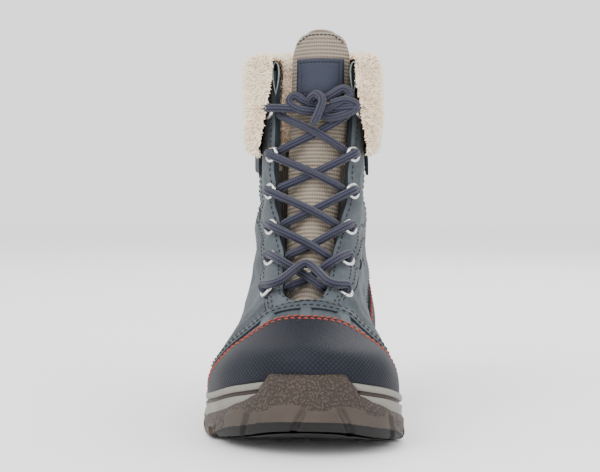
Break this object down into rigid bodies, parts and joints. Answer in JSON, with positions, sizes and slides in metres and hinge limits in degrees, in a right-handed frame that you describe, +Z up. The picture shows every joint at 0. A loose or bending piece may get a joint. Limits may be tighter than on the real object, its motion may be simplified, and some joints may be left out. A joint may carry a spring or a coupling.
{
  "type": "snow boot",
  "caption": "Right-foot lace-up winter boot with a lugged rubber sole, leather and textile upper, sheepskin cuff turned down outside the collar, and a webbing pull loop at the heel.",
  "frame": {"origin": "on the floor at the middle of the heel's contact patch", "axes": "+Z up, -Y from the heel towards the toe, +X towards the inner (big toe) side of the foot"},
  "size_m": [0.0958, 0.2365, 0.1949],
  "materials": {
    "outsole_rubber": "pebbled brown-grey moulded rubber, lugs smoother",
    "midsole_foam": "light grey moulded foam rubber with a brown groove",
    "insole_felt": "felt",
    "upper_leather": "matte slate blue nubuck, with a warm grey ribbed textile shaft above the quarter",
    "coated_leather": "embossed cross-hatched navy coated leather",
    "webbing": "orange twill webbing",
    "cuff_leather": "smooth dark navy leather",
    "fleece": "cream sheepskin pile",
    "tongue_textile": "warm grey ribbed textile",
    "label_textile": "slate blue woven patch, bare",
    "eyelet_metal": "plain nickel-plated steel",
    "lace_cord": "round braided cord, slate violet-blue"
  },
  "bodies": {
    "root": {"cuff": "cuff_leather", "eyelet_inner_1": "eyelet_metal", "eyelet_inner_2": "eyelet_metal", "eyelet_inner_3": "eyelet_metal", "eyelet_inner_4": "eyelet_metal", "eyelet_inner_5": "eyelet_metal", "eyelet_inner_6": "eyelet_metal", "eyelet_outer_1": "eyelet_metal", "eyelet_outer_2": "eyelet_metal", "eyelet_outer_3": "eyelet_metal", "eyelet_outer_4": "eyelet_metal", "eyelet_outer_5": "eyelet_metal", "eyelet_outer_6": "eyelet_metal", "eyestay_inner": "upper_leather", "eyestay_outer": "upper_leather", "fleece": "fleece", "heel_counter": "coated_leather", "heel_strap": "webbing", "insole": "insole_felt", "lace_bar": "lace_cord", "lace_crossing_1": "lace_cord", "lace_crossing_2": "lace_cord", "lace_crossing_3": "lace_cord", "lace_crossing_4": "lace_cord", "lace_crossing_5": "lace_cord", "lace_knot": "lace_cord", "midsole": "midsole_foam", "outsole": "outsole_rubber", "pull_loop": "webbing", "quarter": "upper_leather", "toe_cap": "coated_leather", "tongue": "tongue_textile", "tongue_label": "label_textile", "upper": "upper_leather", "vamp_strip": "upper_leather"}
  },
  "joints": []
}
